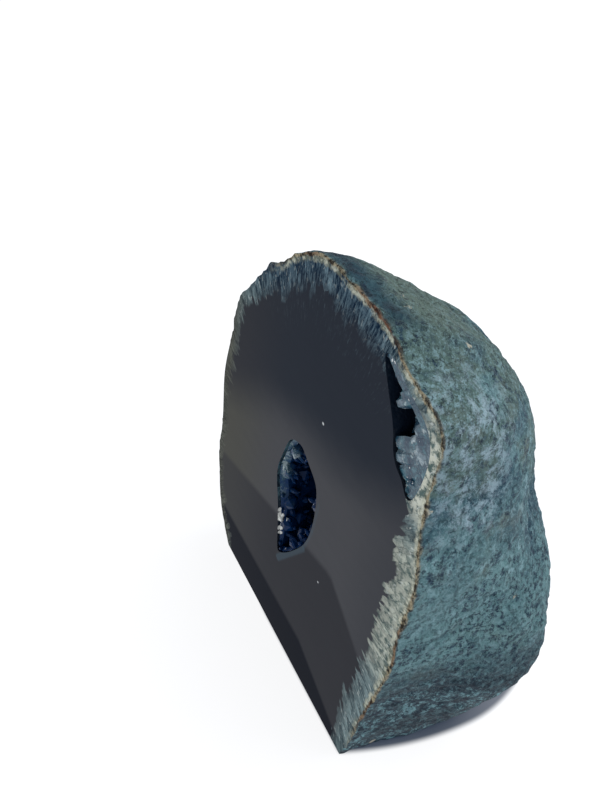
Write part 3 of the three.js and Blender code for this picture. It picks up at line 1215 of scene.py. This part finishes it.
@dataclass
class Stone:
    """The agate half with its rind, face, foot and the walls of its hollows."""

    plan: StonePlan
    smooth_levels: int = 2
    # Relief of the rind: size and height of each layer of its grain, then its pits and the lip at the rim
    grain: tuple[tuple[float, float], ...] = ((6.5, 0.35), (2.6, 0.3), (1.15, 0.22))
    pit_size: float = 2.6
    pit_depth: float = 0.5
    pit_reach: float = 0.45
    lip_raise: float = 0.15
    seed: Vector = field(default_factory=lambda: Vector((17.3, 4.1, 9.7)))

    def build(self) -> bpy.types.Object:
        """Models the stone round its frame node.

        Returns:
            The finished piece.
        """
        piece = copy_node("agate_half", "geode_stone")
        self._open_sawn_sides(piece)
        apply_modifier(piece, "SUBSURF", levels=self.smooth_levels, render_levels=self.smooth_levels)
        self._roughen(piece)
        self._close_sawn_sides(piece)
        self._dress(piece)
        self._sharpen(piece)
        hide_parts("agate_half")
        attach(piece, "root")
        return piece

    def _on_face(self, place: Vector) -> bool:
        """Whether a place in millimetres lies in the polished plane."""
        return abs(place.y - self.plan.face_depth) < ON_PLANE

    def _on_foot(self, place: Vector) -> bool:
        """Whether a place in millimetres lies in the foot's plane."""
        return abs(place.z) < ON_PLANE

    def _select_sawn_rims(self, piece: bpy.types.Object, on_plane: Callable[[Vector], bool]) -> None:
        """Selects the open edges that lie in one sawn plane, and leaves the piece in edit mode.

        Args:
            piece: The stone.
            on_plane: Whether a place lies in the plane.
        """
        select_only(piece)
        bpy.ops.object.mode_set(mode="EDIT")
        bpy.ops.mesh.select_mode(type="EDGE")
        bpy.ops.mesh.select_all(action="DESELECT")
        bpy.ops.mesh.select_non_manifold(extend=False)
        bpy.ops.object.mode_set(mode="OBJECT")
        for edge in piece.data.edges:
            edge.select = edge.select and all(map(on_plane, corners_of(piece.data, edge)))
        bpy.ops.object.mode_set(mode="EDIT")

    def _open_sawn_sides(self, piece: bpy.types.Object) -> None:
        """Takes off the polished face and the foot, so that only the rounded sides are smoothed.

        Args:
            piece: The stone.
        """
        def sawn(polygon: bpy.types.MeshPolygon) -> bool:
            """Whether a facet lies in one of the two sawn planes."""
            corners = corners_of(piece.data, polygon)
            return all(map(self._on_face, corners)) or all(map(self._on_foot, corners))

        select_parts(piece, "FACE", sawn)
        bpy.ops.mesh.delete(type="FACE")
        bpy.ops.object.mode_set(mode="OBJECT")
        self._select_foot_corners(piece)
        bpy.ops.transform.vert_crease(value=1.0)
        bpy.ops.object.mode_set(mode="OBJECT")

    def _select_foot_corners(self, piece: bpy.types.Object) -> None:
        """Selects the two ends of the foot's front edge, and leaves the piece in edit mode."""
        select_parts(piece, "VERT", lambda vertex: all(
            on_plane(vertex.co / MM) for on_plane in (self._on_face, self._on_foot)))

    def _close_sawn_sides(self, piece: bpy.types.Object) -> None:
        """Puts the flat face and the flat foot back over the finished rims.

        Args:
            piece: The stone.
        """
        self._select_foot_corners(piece)
        bpy.ops.mesh.edge_face_add()
        bpy.ops.object.mode_set(mode="OBJECT")
        for on_plane in (self._on_foot, self._on_face):
            self._select_sawn_rims(piece, on_plane)
            bpy.ops.mesh.fill(use_beauty=True)
            bpy.ops.object.mode_set(mode="OBJECT")
        select_only(piece)
        bpy.ops.object.mode_set(mode="EDIT")
        bpy.ops.mesh.select_all(action="SELECT")
        bpy.ops.mesh.normals_make_consistent(inside=False)
        bpy.ops.object.mode_set(mode="OBJECT")

    def _regions(self, mesh: bpy.types.Mesh) -> list[Region]:
        """The kind of surface of each vertex, by which sheet of the open stone it belongs to.

        Args:
            mesh: The stone with its sawn sides taken off.

        Returns:
            One region for each vertex.
        """
        neighbours: list[list[int]] = [[] for _ in mesh.vertices]
        for edge in mesh.edges:
            start, end = edge.vertices
            neighbours[start].append(end)
            neighbours[end].append(start)
        regions = [Region.WALL] * len(mesh.vertices)
        back = max(mesh.vertices, key=lambda vertex: vertex.co.y).index
        waiting, seen = [back], {back}
        while waiting:
            here = waiting.pop()
            regions[here] = Region.RIND
            fresh = [index for index in neighbours[here] if index not in seen]
            seen.update(fresh)
            waiting.extend(fresh)
        return regions

    def _roughen(self, piece: bpy.types.Object) -> None:
        """Raises the grain, pits and lip of the rind, and marks the sheets for their finishes.

        Args:
            piece: The stone with its sawn sides taken off.
        """
        mesh = piece.data
        regions = self._regions(mesh)
        for polygon in mesh.polygons:
            polygon.material_index = regions[polygon.vertices[0]].value
        normals = [vertex.normal.copy() for vertex in mesh.vertices]
        for vertex, normal, region in zip(mesh.vertices, normals, regions):
            place = vertex.co / MM
            on_face, on_foot = self._on_face(place), self._on_foot(place)
            if region is not Region.RIND or (on_face and on_foot):
                continue
            shift = normal * self._height(place)
            if on_face:
                shift = Vector((normal.x, 0.0, normal.z)).normalized() * self._rim_chip(place)
            if on_foot:
                shift.z = 0.0
            vertex.co += shift * MM
        mesh.update()

    def _height(self, place: Vector) -> float:
        """Height of the rind's relief.

        Args:
            place: Where on the rind, in millimetres.

        Returns:
            The height in millimetres.
        """
        behind = place.y - self.plan.face_depth
        height = sum(noise.noise(place / size + self.seed) * rise for size, rise in self.grain)
        nearest = noise.voronoi(place / self.pit_size)[0][0]
        pitted = noise.noise(place / 7) > 0
        height -= self.pit_depth * max(0.0, self.pit_reach - nearest) / self.pit_reach * pitted
        lip = math.exp(-((behind - 0.9) / 0.8) ** 2) * self.lip_raise
        return height * min(1.0, 0.3 + behind / 2.5) + lip

    def _rim_chip(self, place: Vector) -> float:
        """How far the rim of the face stands out or is chipped in.

        Args:
            place: Where on the rim, in millimetres.

        Returns:
            The distance in millimetres.
        """
        if place.z < 0.5 or self.plan.polar(place)[1] < RIM_LEAST:
            return 0.0
        return noise.noise(place / 1.6 + self.seed) * 0.4 + noise.noise(place / 5) * 0.3

    def _dress(self, piece: bpy.types.Object) -> None:
        """Gives each region of the stone its finish.

        Args:
            piece: The closed stone.
        """
        mesh = piece.data
        finishes = {
            Region.RIND: RindFinish(self.plan),
            Region.FACE: FaceFinish(self.plan),
            Region.WALL: WallFinish(self.plan.face_depth),
            Region.FOOT: FootFinish(),
        }
        for region in Region:
            mesh.materials.append(finishes[region].build())
        for polygon in mesh.polygons:
            corners = corners_of(mesh, polygon)
            if all(map(self._on_face, corners)):
                polygon.material_index = Region.FACE.value
            elif all(map(self._on_foot, corners)):
                polygon.material_index = Region.FOOT.value

    def _sharpen(self, piece: bpy.types.Object) -> None:
        """Shades the rind and the walls smooth, with sharp borders to the flat face and foot.

        Args:
            piece: The dressed stone.
        """
        select_only(piece)
        bpy.ops.object.shade_smooth_by_angle(angle=math.radians(SHARP_EDGE))
        kinds: dict[tuple[int, int], set[int]] = {}
        for polygon in piece.data.polygons:
            polygon.use_smooth = polygon.material_index in (Region.RIND.value, Region.WALL.value)
            for key in polygon.edge_keys:
                kinds.setdefault(key, set()).add(polygon.material_index)
        for edge in piece.data.edges:
            if len(kinds[edge.key]) > 1:
                edge.use_edge_sharp = True


@dataclass(frozen=True)
class Prism:
    """One large prism that lies along the face, in millimetres, with its middle line at a depth."""

    root: tuple[float, float]
    tip: tuple[float, float]
    width: float
    depth: float


@dataclass
class CrystalCrust:
    """A crust of pointed quartz on one frame node, with small crystals between the large ones."""

    node: str
    name: str
    slot: str
    finish: CrystalFinish
    seed: int
    count: int
    radius: tuple[float, float]
    length: tuple[float, float]
    prisms: tuple[Prism, ...] = ()
    bevel: float = 0.09
    lean: float = 0.5
    sunk: float = 0.2

    def build(self) -> bpy.types.Object:
        """Models the crust over its frame node.

        Returns:
            The finished piece.
        """
        crust = copy_node(self.node, self.name)
        apply_modifier(crust, "BEVEL", width=self.bevel * MM, segments=1, limit_method="ANGLE",
                       angle_limit=math.radians(25), use_clamp_overlap=True)
        self._grow(crust)
        crust.data.materials.append(self.finish.build())
        select_only(crust)
        bpy.ops.object.shade_flat()
        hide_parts(self.node)
        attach(crust, "root")
        return crust

    def _one_crystal(self) -> bpy.types.Object:
        """A six-sided prism with a point, one unit wide and one unit long.

        Returns:
            The crystal, which stands on the origin.
        """
        bpy.ops.object.select_all(action="DESELECT")
        bpy.ops.mesh.primitive_cylinder_add(vertices=6, radius=0.5, depth=0.6, location=(0, 0, 0.3))
        crystal = bpy.context.object
        select_parts(crystal, "FACE", lambda polygon: polygon.normal.z > 0.9)
        bpy.ops.mesh.extrude_region_move(TRANSFORM_OT_translate={"value": (0, 0, 0.4)})
        bpy.ops.transform.resize(value=(0.12, 0.12, 1.0))
        bpy.ops.object.mode_set(mode="OBJECT")
        bpy.ops.object.transform_apply(location=True, rotation=True, scale=True)
        return crystal

    def _grow(self, crust: bpy.types.Object) -> None:
        """Scatters copies of one small crystal over the crust's inner side and joins them to it.

        Args:
            crust: The crust.
        """
        draw = random.Random(self.seed)
        facets = [polygon for polygon in crust.data.polygons if self._opens(polygon)]
        weights = [polygon.area for polygon in facets]
        seedling = self._one_crystal()
        copies = [self._lay(seedling, prism, SAWN_BELOW + order * SAWN_STEP)
                  for order, prism in enumerate(self.prisms)]
        for polygon in draw.choices(facets, weights, k=self.count):
            lean = Vector([draw.uniform(-self.lean, self.lean) for _ in range(3)])
            way = (polygon.normal + lean).normalized()
            width, length = draw.uniform(*self.radius) * 2, draw.uniform(*self.length)
            root = polygon.center - way * self.sunk * MM
            grown = seedling.data.copy()
            grown.transform(standing(root, way, width, length, draw.uniform(0, math.pi)))
            copies.append(add_object("crystal", grown))
        bpy.data.objects.remove(seedling)
        select_only(crust)
        for grown in copies:
            grown.select_set(True)
        bpy.ops.object.join()

    def _lay(self, seedling: bpy.types.Object, prism: Prism, sawn_below: float) -> bpy.types.Object:
        """Lays one large prism across the mouth, sawn off with the face.

        Args:
            seedling: The crystal of unit size.
            prism: Its two ends, width and depth behind the face.
            sawn_below: How far behind the face it ends, in millimetres.

        Returns:
            The grown prism.
        """
        depth = self.finish.face_depth + prism.depth
        root = Vector((prism.root[0], depth, prism.root[1]))
        way = Vector((prism.tip[0], depth, prism.tip[1])) - root
        blunt = seedling.data.copy()
        for vertex in blunt.vertices:
            if vertex.co.z > 0.9:
                vertex.co *= Vector((BLUNT_TIP, BLUNT_TIP, BLUNT_END))
        blunt.transform(standing(root * MM, way, prism.width, way.length))
        for vertex in blunt.vertices:
            vertex.co.y = max(vertex.co.y, (self.finish.face_depth + sawn_below) * MM)
        return add_object("prism", blunt)

    def _opens(self, polygon: bpy.types.MeshPolygon) -> bool:
        """Whether a facet faces the open middle of its hollow.

        Args:
            polygon: The facet.

        Returns:
            True if it does.
        """
        middle = polygon.center / MM
        heart = CRUST_HEARTS[self.node]
        towards = Vector((heart[0] - middle.x, 0.0, heart[1] - middle.z))
        return polygon.normal.dot(towards) > 0.15 * towards.length


def standing(root: Vector, way: Vector, width: float, length: float, spin: float = 0.0) -> Matrix:
    """Where the crystal of unit size goes to stand on a place and point a way.

    Args:
        root: The place, in metres.
        way: The way that its tip points.
        width: Its width in millimetres.
        length: Its length in millimetres.
        spin: Its turn about its own length, in radians.

    Returns:
        The transform of its mesh.
    """
    turn = way.to_track_quat("Z", "Y").to_matrix().to_4x4() @ Matrix.Rotation(spin, 4, "Z")
    return Matrix.Translation(root) @ turn @ Matrix.Diagonal((width * MM, width * MM, length * MM, 1.0))


# The pocket's large prisms, from the rind down towards the agate
POCKET_PRISMS = (
    Prism((29.4, 85.4), (25.6, 79.8), 4.6, 3.7),
    Prism((28.6, 90.6), (27.0, 86.6), 4.2, 4.0),
    Prism((27.2, 94.6), (22.0, 89.2), 2.2, 0.9),
    Prism((25.8, 94.4), (22.6, 91.2), 1.8, 0.7),
    Prism((24.0, 95.4), (22.2, 93.0), 1.6, 1.1),
    Prism((28.8, 93.2), (26.7, 91.0), 2.0, 0.6),
    Prism((30.2, 91.4), (27.0, 88.0), 2.4, 0.6),
    Prism((30.6, 89.4), (26.4, 85.8), 2.4, 0.7),
    Prism((29.6, 87.6), (23.2, 83.2), 2.4, 0.5),
    Prism((30.2, 85.8), (23.8, 80.9), 2.6, 0.8),
    Prism((31.0, 87.0), (27.0, 83.0), 2.6, 0.5),
    Prism((30.8, 84.0), (25.0, 78.9), 2.6, 0.6),
    Prism((31.4, 84.4), (28.4, 80.6), 2.8, 0.5),
    Prism((31.2, 81.8), (26.9, 77.5), 2.2, 0.6),
    Prism((31.8, 80.4), (29.2, 76.7), 2.2, 0.8),
)


@dataclass(frozen=True)
class PhotoCamera:
    """The camera at the photograph's viewing angle."""

    azimuth: float = 60.0
    elevation: float = 40.0
    roll: float = 5.75
    # Its place: across, before the face and up, in millimetres
    across: float = 87.38
    before_face: float = 52.335
    height: float = 157.84
    # The lens is as long as the sensor is wide
    sensor: float = 36.0

    def build(self, plan: StonePlan) -> bpy.types.Object:
        """Places the camera.

        Args:
            plan: The stone's plan, for its face plane.

        Returns:
            The camera object.
        """
        azimuth, elevation, roll = map(math.radians, (self.azimuth, self.elevation, self.roll))
        back = Vector((math.sin(azimuth) * math.cos(elevation), -math.cos(azimuth) * math.cos(elevation),
                       math.sin(elevation)))
        right = Vector((math.cos(azimuth), math.sin(azimuth), 0.0))
        up = back.cross(right)
        turned_right = right * math.cos(roll) + up * math.sin(roll)
        turned_up = up * math.cos(roll) - right * math.sin(roll)
        place = Vector((self.across, plan.face_depth - self.before_face, self.height)) * MM
        data = bpy.data.cameras.new("camera")
        data.sensor_width = data.lens = self.sensor
        data.clip_start = 0.005
        camera = add_object("camera", data)
        camera.matrix_world = Matrix((
            (turned_right.x, turned_up.x, back.x, place.x),
            (turned_right.y, turned_up.y, back.y, place.y),
            (turned_right.z, turned_up.z, back.z, place.z),
            (0, 0, 0, 1),
        ))
        bpy.context.scene.camera = camera
        return camera


@dataclass(frozen=True)
class Studio:
    """White floor and soft light from overhead, a little behind the rind side."""

    floor_size: float = 4.0
    floor_glow: float = 0.88
    floor_tones: tuple[Color, Color] = ((128, 131, 138), (120, 123, 130))
    # Painted contact shadow: its right end, where it lies furthest right, and how its end curves back on
    # both sides and more so behind, in millimetres
    shadow_end: float = 32.4
    shadow_middle: float = 4.0
    shadow_curve: float = 0.0069
    shadow_curve_behind: float = 0.009
    key_place: tuple[float, float, float] = (0.14, 0.3, 0.9)
    key_aim: tuple[float, float, float] = (0.0, 0.0, 0.045)
    key_size: float = 0.6
    key_power: float = 6.0
    key_tint: Color = (255, 252, 246)
    sky: Color = (240, 244, 250)
    sky_strength: float = 0.5

    def build(self) -> None:
        """Makes the floor, the key light and the sky."""
        self._floor()
        self._key_light()
        self._sky()

    def _floor(self) -> None:
        """Lays the glowing white floor."""
        bpy.ops.object.select_all(action="DESELECT")
        bpy.ops.mesh.primitive_plane_add(size=self.floor_size, location=(0, 0, 0))
        floor = bpy.context.object
        floor.name = "studio_floor"
        graph = Graph("white_floor")
        place = graph.place()
        first, second = (srgb(*tone) for tone in self.floor_tones)
        floor.data.materials.append(graph.surface({
            "Base Color": graph.mix(graph.noise(place, 60.0, 2.0) * 0.2, first, second),
            "Roughness": 0.9,
            "Specular IOR Level": 0.05,
            # Painted contact shadow: the glow turns dark blue under the overhang
            "Emission Color": graph.mix(self._shaded(graph, place), srgb(255, 255, 255), srgb(0, 28, 52)),
            "Emission Strength": self.floor_glow,
        }))

    def _shaded(self, graph: Graph, place: Value) -> Value:
        """The floor under the overhang at the right, where the glow gives way to a painted dark blue contact
        shadow.

        Args:
            graph: The floor's tree.
            place: Object coordinates in millimetres.

        Returns:
            1 in the shadow and 0 outside it.
        """
        x, y, _ = graph.split(place)
        ahead = y - self.shadow_middle
        behind = ahead.most(0.0)
        bend = ahead * ahead * self.shadow_curve + behind * behind * self.shadow_curve_behind
        edge = self.shadow_end - bend
        inside = (1 - (x - edge).ramp(-1.0, 0.7)) * x.ramp(-14.0, -8.0)
        return inside * y.ramp(-25.4, -24.2) * (1 - y.ramp(17.0, 24.0))

    def _key_light(self) -> None:
        """Hangs a square soft light that looks at the stone's middle."""
        data = bpy.data.lights.new("key_light", "AREA")
        data.size = self.key_size
        data.energy = self.key_power
        data.color = srgb(*self.key_tint)[:3]
        light = add_object("key_light", data)
        light.location = self.key_place
        aim = Vector(self.key_aim) - Vector(self.key_place)
        light.rotation_euler = aim.to_track_quat("-Z", "Y").to_euler()

    def _sky(self) -> None:
        """Sets a plain pale sky."""
        world = bpy.data.worlds.new("sky")
        world.use_nodes = True
        background = world.node_tree.nodes["Background"]
        background.inputs["Color"].default_value = srgb(*self.sky)
        background.inputs["Strength"].default_value = self.sky_strength
        bpy.context.scene.world = world


def hollow_crust(plan: StonePlan) -> CrystalCrust:
    """The crust of the hollow, painted dark as shade and painted pale as lit only at the upper left of its
    mouth.

    Args:
        plan: The stone's plan, for its face plane.

    Returns:
        The crust, ready to build.
    """
    # Painted light and shade: pale at the upper left of the mouth, dark deep blue elsewhere
    finish = CrystalFinish("hollow_quartz", plan.face_depth, pale=(72, 104, 112), deep=(6, 36, 72),
                           fade=(0.4, 2.6), lit_above=(39.0, 45.0), lit_until=(-3.0, 1.0), gloss=0.08)
    return CrystalCrust("hollow_crystals", "hollow_druse", "hollow_quartz", finish,
                        seed=8, count=260, radius=(0.25, 0.7), length=(0.8, 2.2))


def pocket_crust(plan: StonePlan) -> CrystalCrust:
    """The blocky crust of the pocket under the rind.

    Args:
        plan: The stone's plan, for its face plane.

    Returns:
        The crust, ready to build.
    """
    # Painted light and shade: pale near the face where lit, darker with depth behind it
    finish = CrystalFinish("pocket_quartz", plan.face_depth, pale=(74, 116, 130), deep=(12, 40, 60),
                           fade=(0.5, 3.2), lit_above=(60.0, 70.0), lit_until=(50.0, 60.0), gloss=0.3,
                           block=2.2, mottle=0.95)
    return CrystalCrust("edge_pocket_crystals", "edge_pocket_quartz", "pocket_quartz", finish,
                        seed=4, count=90, radius=(0.2, 0.5), length=(0.6, 1.6), prisms=POCKET_PRISMS)


def main() -> None:
    """Builds the camera, the studio and the geode in order."""
    logging.basicConfig(level=logging.INFO, format="%(name)s: %(message)s")
    bpy.context.scene.view_settings.view_transform = "Standard"
    plan = StonePlan.read()
    PhotoCamera().build(plan)
    Studio().build()
    for part in (Stone(plan), hollow_crust(plan), pocket_crust(plan)):
        piece = part.build()
        LOG.info("%s: %d faces", piece.name, len(piece.data.polygons))


if __name__ == "__main__":
    main()
